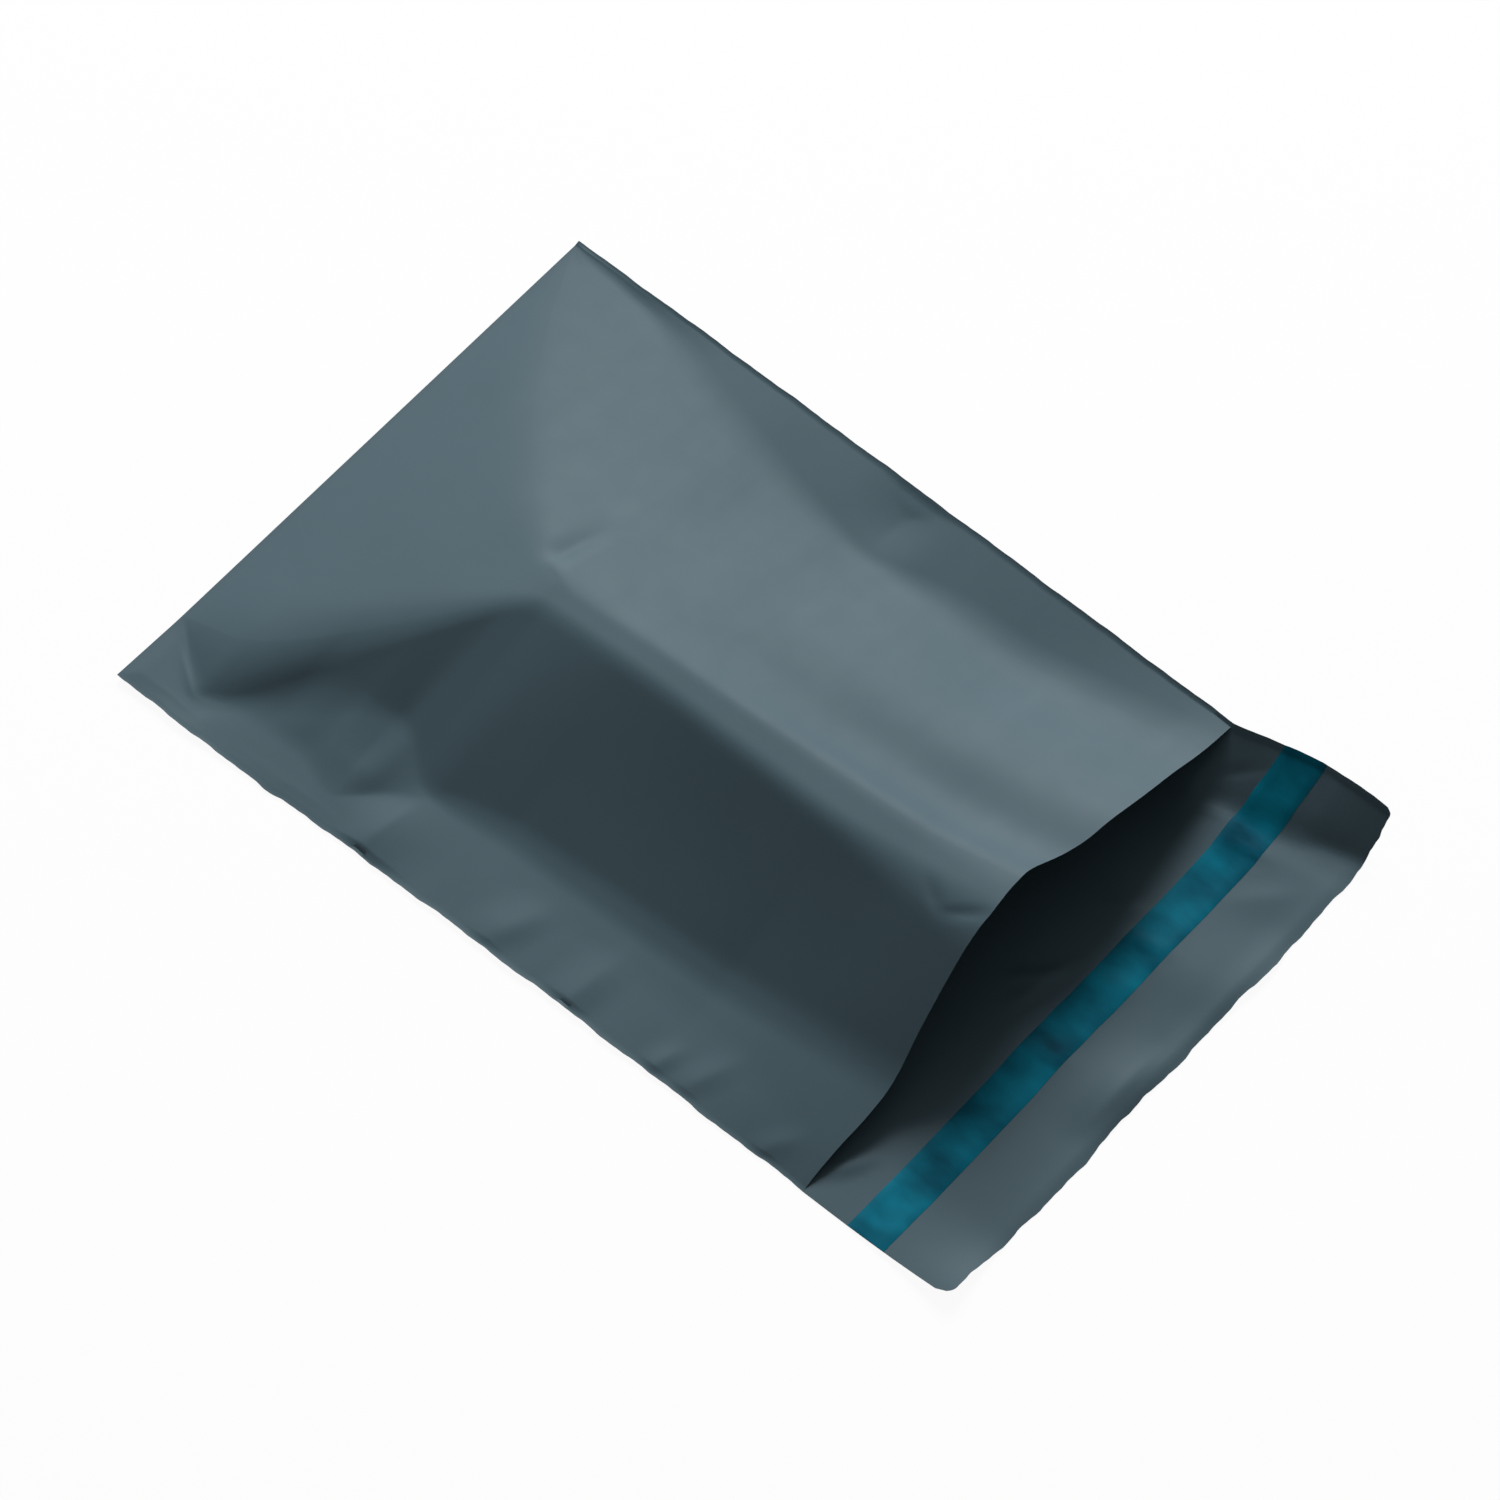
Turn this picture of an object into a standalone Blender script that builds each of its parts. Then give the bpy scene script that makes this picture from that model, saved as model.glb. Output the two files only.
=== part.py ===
"""Poly mailer lying on its back panel, with its mouth a little open.

One web of polyethylene film is folded at the bottom and welded along both sides. The back panel
runs on past the mouth as the closing flap. A band of adhesive crosses the inner face of the flap
and is covered by a coloured liner that peels off.

Frame: +X across the bag, +Y from the flap towards the bottom fold, +Z up from the surface on
which the bag lies. The origin is on that surface, under the middle of the bag.
In the functions below, x is measured along X, and p runs from the bottom fold towards the flap.
"""

import bmesh
import bpy
import numpy as np

MM = 0.001

# Film web
BAG_WIDTH = 190 * MM
BAG_LENGTH = 246 * MM  # bottom fold to the front panel's cut edge, along the film
FLAP_LENGTH = 51 * MM
FILM = 0.06 * MM
WELD = 1 * MM  # each side weld
FOLD_DEPTH = 0.5 * MM  # the panels lie pressed together this far in from the bottom fold
PANEL_GAP = 0.3 * MM  # least air between the panels, reached this far from a weld:
GAP_REACH = 4 * MM

# Closing strip on the inner face of the flap
LINER_WIDTH = 12.5 * MM
LINER_THICKNESS = 0.05 * MM
LINER_FROM_END = 23 * MM  # free film between the liner and the flap's cut edge
ADHESIVE_WIDTH = 10 * MM
ADHESIVE_THICKNESS = 0.1 * MM
SEAT = 0.2 * MM  # clearance between film and adhesive, and between adhesive and liner

# Puffed front panel. A closed bottom end rises from the fold to a pinch, where its two hips meet.
# From there a narrow roof runs to the mouth, with a slope down to a low strip on each side.
PINCH_AT = 78 * MM
END_RISE = 0.27  # slope of the bottom end

# Upper edges of the two slopes, which are hips up to the pinch and the roof's edges past it:
# distance from the fold, x, rounding
NEAR_RIDGE = (
    (0, -70 * MM, 4 * MM),
    (21 * MM, -71.5 * MM, 10 * MM),
    (35 * MM, -58.5 * MM, 13 * MM),
    (50 * MM, -41 * MM, 11 * MM),
    (62 * MM, -28 * MM, 8 * MM),
    (PINCH_AT, -12.5 * MM, 3 * MM),
    (125 * MM, -12.5 * MM, 3 * MM),
    (190 * MM, -15 * MM, 3.5 * MM),
    (BAG_LENGTH, -16 * MM, 9.5 * MM),
)
FAR_RIDGE = (
    (0, 92.4 * MM, 1 * MM),
    (18 * MM, 58 * MM, 14 * MM),
    (34 * MM, 36 * MM, 14 * MM),
    (50 * MM, 18 * MM, 10 * MM),
    (70 * MM, 2 * MM, 4 * MM),
    (PINCH_AT, -3 * MM, 2.5 * MM),
    (150 * MM, -2.5 * MM, 2.5 * MM),
    (213 * MM, -1 * MM, 4 * MM),
    (BAG_LENGTH, 3 * MM, 9.5 * MM),
)
# Height of the roof's far edge, from the fold to the mouth. The near edge is a little lower.
ROOF = ((113 * MM, 23.8 * MM), (170 * MM, 26.5 * MM), (213 * MM, 29.5 * MM), (BAG_LENGTH, 34 * MM))
ROOF_FALL = 0.1 * MM

# Foot of the near slope: distance from the fold, x, height, rounding
NEAR_FOOT = (
    (0, -71 * MM, 0, 1 * MM),
    (20.5 * MM, -86.5 * MM, 0.4 * MM, 1 * MM),
    (28 * MM, -82.5 * MM, 0.55 * MM, 2.5 * MM),
    (42 * MM, -72.5 * MM, 0.7 * MM, 5 * MM),
    (50 * MM, -66.5 * MM, 1.3 * MM, 6 * MM),
    (60 * MM, -60 * MM, 3.3 * MM, 3 * MM),
    (70 * MM, -57 * MM, 2.9 * MM, 1.5 * MM),
    (76 * MM, -59 * MM, 3.6 * MM, 2 * MM),
    (86 * MM, -67 * MM, 1.5 * MM, 2 * MM),
    (91 * MM, -68.5 * MM, 0.9 * MM, 2 * MM),
    (100 * MM, -66.5 * MM, 0.9 * MM, 4 * MM),
    (115 * MM, -64 * MM, 1 * MM, 5 * MM),
    (190 * MM, -62 * MM, 1.2 * MM, 5 * MM),
    (BAG_LENGTH, -58.5 * MM, 3.5 * MM, 5 * MM),
)
# A second bend in the near strip. It points at the weld where the panel buckles at the pinch.
NEAR_KNEE = (
    (0, -80 * MM, 0, 1 * MM),
    (20.5 * MM, -90.5 * MM, 0.3 * MM, 1 * MM),
    (34 * MM, -82 * MM, 0.45 * MM, 3 * MM),
    (55 * MM, -80.5 * MM, 0.5 * MM, 3 * MM),
    (70 * MM, -86 * MM, 0.5 * MM, 1.5 * MM),
    (79 * MM, -77.5 * MM, 0.8 * MM, 1.5 * MM),
    (90 * MM, -71.5 * MM, 0.85 * MM, 1.5 * MM),
    (100 * MM, -74 * MM, 0.8 * MM, 2 * MM),
    (190 * MM, -74.5 * MM, 0.8 * MM, 2 * MM),
    (BAG_LENGTH, -74.5 * MM, 1.9 * MM, 2 * MM),
)
# Foot of the far slope: distance from the fold, distance from the far edge, height, rounding
FAR_FOOT = (
    (0, 2.1 * MM, 0, 1 * MM),
    (29 * MM, 3.6 * MM, 0.8 * MM, 1.5 * MM),
    (50 * MM, 8.5 * MM, 1.9 * MM, 5 * MM),
    (62 * MM, 14 * MM, 2.9 * MM, 6 * MM),
    (80 * MM, 18.5 * MM, 3.4 * MM, 6 * MM),
    (100 * MM, 23 * MM, 3.5 * MM, 6 * MM),
    (130 * MM, 26 * MM, 4 * MM, 2.5 * MM),
    (160 * MM, 23 * MM, 5 * MM, 7 * MM),
    (190 * MM, 22 * MM, 6 * MM, 8 * MM),
    (232 * MM, 15 * MM, 9.8 * MM, 9 * MM),
    (BAG_LENGTH, 13 * MM, 11.6 * MM, 9 * MM),
)
NEAR_SAG = 1 * MM  # the near slope hollows in by this past the pinch
FAR_SWAG = 2.3 * MM  # shallow S of the far slope, at the mouth
SWAG_FROM = 95 * MM
SWAG_LEAN = 0.65  # moves the S towards the roof

# The far edge of both panels lifts towards the mouth and is drawn in by the puffed front.
FAR_LIFT = 12 * MM
FAR_DRAW_IN = 9.3 * MM
DRAW_IN_BEND = 1.15
# The near edge wanders by this: distance from the fold, x from where a straight edge would be
NEAR_EDGE = (
    (0, -1.6 * MM),
    (56 * MM, -1.4 * MM),
    (61 * MM, -0.4 * MM),
    (80 * MM, -0.3 * MM),
    (105 * MM, 0.2 * MM),
    (160 * MM, 0.7 * MM),
    (258 * MM, 0.7 * MM),
    (264 * MM, -0.6 * MM),
    (276 * MM, -0.9 * MM),
    (BAG_LENGTH + FLAP_LENGTH, -1.5 * MM),
)
# The front panel's cut edge bows back in the middle of the mouth: x, depth, half width
MOUTH_BOWS = ((-6 * MM, 3 * MM, 44 * MM), (7 * MM, 1.6 * MM, 17 * MM))
# Crease under the lifted edge: distance from the fold, distance from the far edge
FAR_CREASE = (
    (0, 1.9 * MM),
    (82 * MM, 15 * MM),
    (130 * MM, 26 * MM),
    (BAG_LENGTH, 22 * MM),
)
# Past the mouth, from the mouth: distance, draw-in, lift, distance from crease to far edge
FLAP_EDGE = (
    (16 * MM, 4 * MM, 10.3 * MM, 22 * MM),
    (29 * MM, 2 * MM, 10.4 * MM, 20.5 * MM),
    (42 * MM, 1.3 * MM, 10 * MM, 15.5 * MM),
    (FLAP_LENGTH, 1.3 * MM, 9.3 * MM, 13 * MM),
)
FLAP_SETTLE = 18 * MM  # the crease under the lifted edge turns sharp over this, from the mouth

# Lifted corner at the near end of the bottom fold
TIP_LIFT = 1.2 * MM
TIP_WIDTH = 22.5 * MM
TIP_LENGTH = 37 * MM
TIP_ROUND = 0.12  # rounding of its crease, as a share of its size

# Creases of the front panel: x and distance from the fold at both ends, how far along the crease
# it is highest, height (below 0 for a valley), width on its left and on its right, rounding.
# Left and right are as seen from its first end.
CREASES = (
    # Crest beside the lifted corner, and the bulge that it ends at
    (-71.5 * MM, -4 * MM, -90.5 * MM, 25 * MM, 0.7, 0.6 * MM, 3 * MM, 9 * MM, 0.6 * MM),
    (-69 * MM, -6 * MM, -61 * MM, 48 * MM, 0.5, 1.5 * MM, 24 * MM, 15 * MM, 11 * MM),
    # Crown and edges of the buckle at the pinch
    (-67 * MM, 57 * MM, -65 * MM, 82 * MM, 0.55, 1 * MM, 8 * MM, 15 * MM, 1.5 * MM),
    (-90 * MM, 69.5 * MM, -56 * MM, 68.5 * MM, 0.5, -0.6 * MM, 7 * MM, 6 * MM, 1 * MM),
    (-87 * MM, 70 * MM, -69 * MM, 88 * MM, 0.4, -0.35 * MM, 6 * MM, 5 * MM, 0.6 * MM),
    (-69 * MM, 90 * MM, -95 * MM, 87 * MM, 0.3, 1.2 * MM, 6 * MM, 10 * MM, 0.8 * MM),
    # Small buckles that run in from the near weld
    (-98 * MM, 129 * MM, -70 * MM, 143 * MM, 0.4, 0.9 * MM, 7 * MM, 5 * MM, 0.8 * MM),
    (-98 * MM, 160 * MM, -66 * MM, 165 * MM, 0.4, 0.9 * MM, 8 * MM, 7 * MM, 1 * MM),
    (-98 * MM, 190 * MM, -80 * MM, 195 * MM, 0.4, 0.6 * MM, 5 * MM, 4 * MM, 0.8 * MM),
    (-98 * MM, 200 * MM, -72 * MM, 210 * MM, 0.4, 0.6 * MM, 6 * MM, 5 * MM, 0.8 * MM),
    (-98 * MM, 226 * MM, -80 * MM, 238 * MM, 0.5, 0.5 * MM, 5 * MM, 5 * MM, 0.8 * MM),
    # Buckle that runs in from the far weld
    (92 * MM, 110 * MM, 64 * MM, 132 * MM, 0.75, -0.9 * MM, 10 * MM, 4.5 * MM, 0.6 * MM),
)

# Creases of the back panel and the flap, listed like those of the front panel
UNDER_CREASES = (
    # Curl of the near edge
    (-97 * MM, 0, -96.5 * MM, 66 * MM, 0.45, 0.45 * MM, 6 * MM, 3 * MM, 0.5 * MM),
)
# The flap's cut edge isn't straight: x, how far it falls short
CUT_EDGE = (
    (-95 * MM, 1.5 * MM),
    (-79 * MM, 1.2 * MM),
    (-75 * MM, 0.2 * MM),
    (-20 * MM, 0.2 * MM),
    (20 * MM, -0.5 * MM),
    (52 * MM, -0.3 * MM),
    (70 * MM, 0.3 * MM),
    (95 * MM, 0.7 * MM),
)
# Waves of the flap's cut edge: x, height, half width, reach in from the cut edge
FLAP_WAVES = (
    (-95 * MM, 3.5 * MM, 26 * MM, 40 * MM),
    (-16 * MM, 2.5 * MM, 13 * MM, 15 * MM),
    (34 * MM, 1 * MM, 18 * MM, 24 * MM),
)
CORNER_RADII = (4 * MM, 1.5 * MM)  # near and far corner of the flap

# Other roundings. Each is half of the stretch that is rounded.
UNDER_ROUND = 7 * MM
FLAP_ROUND = 1.5 * MM
PINCH_ROUND = 3 * MM
LINE_ROUND = 6 * MM
CRISP_ROUND = 2 * MM

# Spacing of the faces
FINE_ROWS = (55 * MM, 100 * MM)  # the buckles at the pinch lie between these
ROW_PITCH = 7 * MM
FINE_PITCH = 3 * MM
FLAP_PITCH = 6 * MM
COLUMNS = (5, 5, 7, 4, 8, 5)  # outer and inner near strip, near slope, roof, far slope, far strip
SMOOTH_ANGLE = np.radians(40)

FOLD_Y = (BAG_LENGTH + FLAP_LENGTH) / 2
NEAR_X = -BAG_WIDTH / 2
FAR_X = BAG_WIDTH / 2
DOUBLE = 2 * FILM  # the two films of a weld or of the fold


def ramp(distance, half):
    """0 below -half, the distance itself above half, and a smooth bend between."""
    bend = (distance + half) ** 2 / (4 * half)
    return np.where(distance <= -half, 0, np.where(distance >= half, distance, bend))


def bent_line(t, knots, halves):
    """Value at t of the line through the knots, its inner corners rounded by the half widths."""
    rooms = [b[0] - a[0] for a, b in zip(knots, knots[1:])]
    slopes = [(b[1] - a[1]) / room for a, b, room in zip(knots, knots[1:], rooms)]
    halves = [0, *halves, 0]
    # Two roundings that would run into each other share the room between them.
    shares = [np.minimum(1, room / (halves[k] + halves[k + 1])) for k, room in enumerate(rooms)]
    value = knots[0][1] + slopes[0] * (t - knots[0][0])
    for k in range(1, len(slopes)):
        half = halves[k] * np.minimum(shares[k - 1], shares[k])
        value = value + (slopes[k] - slopes[k - 1]) * ramp(t - knots[k][0], half)
    return value


def along(p, table, column, rounding=LINE_ROUND):
    """A value from one column of a table whose first column is the distance from the fold."""
    knots = [(row[0], row[column]) for row in table]
    return bent_line(p, knots, [rounding] * (len(knots) - 2))


def near_edge(p):
    return NEAR_X + along(p, NEAR_EDGE, 1, CRISP_ROUND)


def flap_table(mouth_values):
    """FLAP_EDGE with distances from the fold, after a first row at the mouth."""
    rows = [(BAG_LENGTH, *mouth_values)]
    return rows + [(BAG_LENGTH + row[0], *row[1:]) for row in FLAP_EDGE]


def far_side(p):
    """The far edge's x and lift, and the x of the crease under it, at distance p."""
    flap = flap_table((FAR_DRAW_IN, FAR_LIFT, FAR_CREASE[-1][1]))
    share = np.maximum(p, 0) / BAG_LENGTH
    in_bag = p <= BAG_LENGTH
    inside = np.minimum(p, BAG_LENGTH)
    beyond = np.maximum(p, BAG_LENGTH)
    draw = np.where(in_bag, FAR_DRAW_IN * share**DRAW_IN_BEND, along(beyond, flap, 1))
    lift = np.where(in_bag, FAR_LIFT * share, along(beyond, flap, 2))
    crease = np.where(in_bag, along(inside, FAR_CREASE, 1), along(beyond, flap, 3))
    return FAR_X - draw, lift, FAR_X - draw - crease


def bump(distance, half):
    """A smooth bump, 1 at distance 0 and 0 from half on."""
    return np.where(np.abs(distance) < half, (1 + np.cos(np.pi * distance / half)) / 2, 0)


def flap_waves(x, p):
    end = BAG_LENGTH + FLAP_LENGTH
    height = 0
    for at, top, half, reach in FLAP_WAVES:
        height = height + top * bump(x - at, half) * np.clip(1 - (end - p) / reach, 0, 1) ** 2
    return height


def crease(x, p, start_x, start_p, end_x, end_p, peak, height, left, right, rounding):
    """Height of a tent-shaped crease that rises from its two ends to its peak."""
    length = np.hypot(end_x - start_x, end_p - start_p)
    along_x = (end_x - start_x) / length
    along_p = (end_p - start_p) / length
    share = ((x - start_x) * along_x + (p - start_p) * along_p) / length
    side = (x - start_x) * along_p - (p - start_p) * along_x
    knots = ((-2 * right, 0), (-right, 0), (0, 1), (left, 0), (2 * left, 0))
    tent = bent_line(side, knots, (0.4 * right, rounding, 0.4 * left))
    rise = np.where(share < peak, bump(share - peak, peak), bump(share - peak, 1 - peak))
    return height * rise * tent


def under_height(x, p):
    """Height of the underside of the back panel and the flap."""
    edge_x, lift, crease_x = far_side(p)
    rise = lift / (edge_x - crease_x)
    room = 0.45 * (edge_x - crease_x)
    past_mouth = np.clip((p - BAG_LENGTH) / FLAP_SETTLE, 0, 1)
    rounding = UNDER_ROUND + (FLAP_ROUND - UNDER_ROUND) * past_mouth
    height = rise * ramp(x - crease_x, np.minimum(rounding, room))
    tip = 1 - (x - NEAR_X) / TIP_WIDTH - p / TIP_LENGTH
    height = height + TIP_LIFT * ramp(tip, TIP_ROUND)
    for values in UNDER_CREASES:
        height = height + crease(x, p, *values)
    return height + flap_waves(x, p)


def roof_height(p):
    """Height of the roof's far edge above the welded films."""
    at_pinch = END_RISE * (PINCH_AT - FOLD_DEPTH)
    knots = ((FOLD_DEPTH, 0), (PINCH_AT, at_pinch), *ROOF)
    return bent_line(p, knots, [PINCH_ROUND] + [LINE_ROUND] * (len(ROOF) - 1))


def ribs(p):
    """The seven lines from the fold to the mouth, as (x, height, rounding)."""
    near = near_edge(p)
    far = far_side(p)[0]
    fall = ROOF_FALL * np.clip(p / PINCH_AT, 0, 1)
    return (
        (near + WELD, 0 * p, 0 * p),
        tuple(along(p, NEAR_KNEE, k, CRISP_ROUND) for k in (1, 2, 3)),
        tuple(along(p, NEAR_FOOT, k, CRISP_ROUND) for k in (1, 2, 3)),
        (along(p, NEAR_RIDGE, 1), roof_height(p) - fall, along(p, NEAR_RIDGE, 2)),
        (along(p, FAR_RIDGE, 1), roof_height(p), along(p, FAR_RIDGE, 2)),
        (far - along(p, FAR_FOOT, 1), along(p, FAR_FOOT, 2), along(p, FAR_FOOT, 3)),
        (far - WELD, 0 * p, 0 * p),
    )


def top_height(x, p):
    """Height of the front panel's outer face."""
    lines = ribs(p)
    back = under_height(x, p) + DOUBLE
    welds = [under_height(lines[k][0], p) + DOUBLE for k in (0, -1)]
    inner = [line[:2] for line in lines[1:-1]]
    knots = [(lines[0][0], welds[0]), *inner, (lines[-1][0], welds[1])]
    height = bent_line(x, knots, [line[2] for line in lines[1:-1]])

    foot, near_ridge, far_ridge, far_foot = (line[0] for line in lines[2:6])
    near_share = np.clip((x - foot) / (near_ridge - foot), 0, 1)
    hollow = bump(p - (PINCH_AT + BAG_LENGTH) / 2, (BAG_LENGTH - PINCH_AT) / 2)
    height = height - NEAR_SAG * hollow * np.sin(np.pi * near_share)
    far_share = np.clip((x - far_ridge) / (far_foot - far_ridge), 0, 1)
    grown = np.clip((p - SWAG_FROM) / (BAG_LENGTH - SWAG_FROM), 0, 1)
    height = height - FAR_SWAG * grown * np.sin(2 * np.pi * far_share**SWAG_LEAN)

    for values in CREASES:
        height = height + crease(x, p, *values)

    from_weld = np.minimum(x - lines[0][0], lines[-1][0] - x)
    inset = np.clip(np.minimum(from_weld, p - FOLD_DEPTH) / GAP_REACH, 0, 1)
    least = back + PANEL_GAP * inset
    welded = (from_weld <= 0) | (p <= FOLD_DEPTH)
    return np.where(welded, back, least + ramp(height - least, PANEL_GAP / 2))


def steepness(height, x, p):
    """Vertical reach of a sheet of thickness 1 at a point of the surface."""
    near = 0.05 * MM
    across = (height(x + near, p) - height(x - near, p)) / (2 * near)
    down = (height(x, p + near) - height(x, p - near)) / (2 * near)
    return np.sqrt(1 + across**2 + down**2)


def film_end(height, x, film_length):
    """Distance p at which a film over the surface has used up its length, at constant x."""
    end = np.full(np.shape(x), film_length)
    for _ in range(3):
        line = np.linspace(0, 1, 200)[:, None] * end
        rise = np.diff(height(x + 0 * line, line), axis=0)
        used = np.sqrt(np.diff(line, axis=0) ** 2 + rise**2).sum(axis=0)
        end = end + film_length - used
    return end


def spaced(stations, pitches):
    """Values from the first station to the last, each stretch cut into steps of its pitch."""
    values = [stations[0]]
    for start, end, pitch in zip(stations, stations[1:], pitches):
        count = max(1, int(np.ceil((end - start) / pitch - 1e-6)))
        values += list(start + (end - start) * np.arange(1, count + 1) / count)
    return np.array(values)


def column_lines(p):
    """x of every column of faces at distance p, from the near edge to the far edge."""
    lines = [line[0] for line in ribs(p)]
    columns = [near_edge(p), lines[0]]
    for start, end, count in zip(lines, lines[1:], COLUMNS):
        columns += [start + (end - start) * k / count for k in range(1, count + 1)]
    return np.array(columns + [far_side(p)[0]])


def bag_grid():
    """x and p of the grid under the bag, columns by rows, from the fold to the mouth."""
    stations = (FOLD_DEPTH, *FINE_ROWS, BAG_LENGTH)
    rows = np.concatenate(([0], spaced(stations, (ROW_PITCH, FINE_PITCH, ROW_PITCH))))
    count = len(column_lines(np.array(BAG_LENGTH)))
    mouth = np.full(count, BAG_LENGTH)
    for _ in range(3):
        mouth_x = np.diag(column_lines(mouth))
        bows = [depth * bump(mouth_x - at, half) for at, depth, half in MOUTH_BOWS]
        mouth = film_end(top_height, mouth_x, BAG_LENGTH - sum(bows))
    # Near the fold the rows lie straight across, and towards the mouth they follow its cut edge.
    p = rows + (mouth - BAG_LENGTH)[:, None] * (rows / BAG_LENGTH)
    x = np.array([column_lines(p[k])[k] for k in range(count)])
    return x, p


def flap_grid(mouth_x, mouth_p):
    """x and p of the grid of the flap, whose rows include the edges of liner and adhesive."""
    free_length = BAG_LENGTH + FLAP_LENGTH
    margin = (LINER_WIDTH - ADHESIVE_WIDTH) / 2
    liner_end = FLAP_LENGTH - LINER_FROM_END
    liner_start = liner_end - LINER_WIDTH
    stations = (0, liner_start, liner_start + margin, liner_end - margin, liner_end, FLAP_LENGTH)
    rows = spaced(stations, [FLAP_PITCH] * (len(stations) - 1))[1:]

    mouth_edge, _, mouth_crease = far_side(mouth_p)
    start = near_edge(mouth_p)

    def columns_at(p):
        """Each column keeps its share of the way to the crease, or from there to the edge."""
        edge, _, crease = far_side(p)
        low = start + (mouth_x - start) * (crease - start) / (mouth_crease - start)
        high = edge + (mouth_x - mouth_edge) * (edge - crease) / (mouth_edge - mouth_crease)
        return np.where(mouth_x <= mouth_crease, low, high)

    end = film_end(under_height, columns_at(np.full(len(mouth_x), free_length)), free_length)
    # The liner lies straight across, and the rows between it and the mouth fan out.
    from_end = end[:, None] - FLAP_LENGTH + rows
    near_mouth = np.clip(1 - rows / liner_start, 0, 1)
    p = from_end + (mouth_p - end + FLAP_LENGTH)[:, None] * near_mouth
    x = np.array([columns_at(p[:, k]) for k in range(len(rows))]).T
    # Round the two free corners: near a corner the cut edge steps back along a circle.
    past_liner = np.clip((rows - liner_end) / LINER_FROM_END, 0, 1)
    p = p - along(mouth_x, CUT_EDGE, 1, CRISP_ROUND)[:, None] * past_liner
    for radius, from_side in zip(CORNER_RADII, (x - x[0], x[-1] - x)):
        inside = np.clip(radius - from_side, 0, radius)
        p = p - (radius - np.sqrt(radius**2 - inside**2)) * past_liner
    strip = [int(np.argmin(abs(rows - s))) for s in stations[1:5]]
    return x, p, strip


def placed(x, p, z):
    """Points in the frame of the part, as a grid of coordinates."""
    return np.stack([x, FOLD_Y - p, z], axis=-1)


class Builder:
    """Collects corner points and faces, and turns them into one object."""

    def __init__(self):
        self.mesh = bmesh.new()

    def points(self, grid):
        """Vertices for a grid of points, as an array of the same layout."""
        made = np.empty(grid.shape[:2], dtype=object)
        for index in np.ndindex(*made.shape):
            made[index] = self.mesh.verts.new(grid[index])
        return made

    def face(self, *corners):
        kept = [v for k, v in enumerate(corners) if v is not corners[k - 1]]
        if len(kept) > 2:
            self.mesh.faces.new(kept)

    def sheet(self, grid):
        """Faces over a whole grid of vertices."""
        for i in range(grid.shape[0] - 1):
            for j in range(grid.shape[1] - 1):
                self.face(grid[i, j], grid[i, j + 1], grid[i + 1, j + 1], grid[i + 1, j])

    def band(self, first, second):
        """Faces between two rows of vertices of equal length."""
        for k in range(len(first) - 1):
            self.face(first[k], first[k + 1], second[k + 1], second[k])

    def finish(self, name, color, roughness):
        bmesh.ops.triangulate(self.mesh, faces=self.mesh.faces[:])
        bmesh.ops.recalc_face_normals(self.mesh, faces=self.mesh.faces[:])
        if self.mesh.calc_volume(signed=True) < 0:
            bmesh.ops.reverse_faces(self.mesh, faces=self.mesh.faces[:])
        mesh = bpy.data.meshes.new(name)
        self.mesh.to_mesh(mesh)
        self.mesh.free()
        mesh.shade_smooth()
        mesh.set_sharp_from_angle(angle=SMOOTH_ANGLE)
        mesh.materials.append(plain_material(name, color, roughness))
        piece = bpy.data.objects.new(name, mesh)
        bpy.context.scene.collection.objects.link(piece)
        return piece


def plain_material(name, color, roughness):
    material = bpy.data.materials.new(name)
    material.use_nodes = True
    shader = material.node_tree.nodes["Principled BSDF"]
    shader.inputs["Base Color"].default_value = (*color, 1)
    shader.inputs["Roughness"].default_value = roughness
    shader.inputs["Metallic"].default_value = 0
    return material


def bag_film(x, p, flap_x, flap_p):
    """The folded and welded film: outer skin, inner skin of the pocket, and the flap."""
    build = Builder()
    rows = x.shape[1]
    all_x = np.hstack([x, flap_x])
    all_p = np.hstack([p, flap_p])
    under = under_height(all_x, all_p)
    over = under + FILM * steepness(under_height, all_x, all_p)
    top = top_height(x, p)
    lining = top - FILM * steepness(top_height, x, p)

    outside_back = build.points(placed(all_x, all_p, under))
    outside_front = build.points(placed(x, p, top))
    flap_face = build.points(placed(all_x, all_p, over)[:, rows - 1 :])
    pocket_floor = build.points(placed(x, p, over[:, :rows])[1:-1, 1:-1])
    pocket_roof = build.points(placed(x, p, lining)[2:-2, 2:])

    # The pocket's floor ends at the mouth in the flap's upper face.
    floor = np.hstack([pocket_floor, flap_face[1:-1, :1]])
    # The pocket's roof meets its floor along the welds and the fold.
    roof = floor.copy()
    roof[1:-1, 1:] = pocket_roof

    build.sheet(outside_back)
    build.sheet(outside_front)
    build.sheet(flap_face)
    build.sheet(floor)
    build.sheet(roof)

    # Cut edge of the front panel, with the ends of the welds
    mouth = outside_front[:, -1]
    build.band(mouth, np.concatenate([flap_face[:1, 0], roof[:, -1], flap_face[-1:, 0]]))
    # Bottom fold
    build.band(outside_front[:, 0], outside_back[:, 0])
    # Cut edges of the welded sides and of the flap
    for side in (0, -1):
        front = outside_front[side]
        back = outside_back[side]
        build.band(front[:-1], back[: rows - 1])
        build.face(front[-2], front[-1], flap_face[side, 0], back[rows - 1], back[rows - 2])
        build.band(flap_face[side], back[rows - 1 :])
    build.band(flap_face[:, -1], outside_back[:, -1])
    return build.finish("bag_film", color=(0.095, 0.13, 0.15), roughness=0.5)


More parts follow.
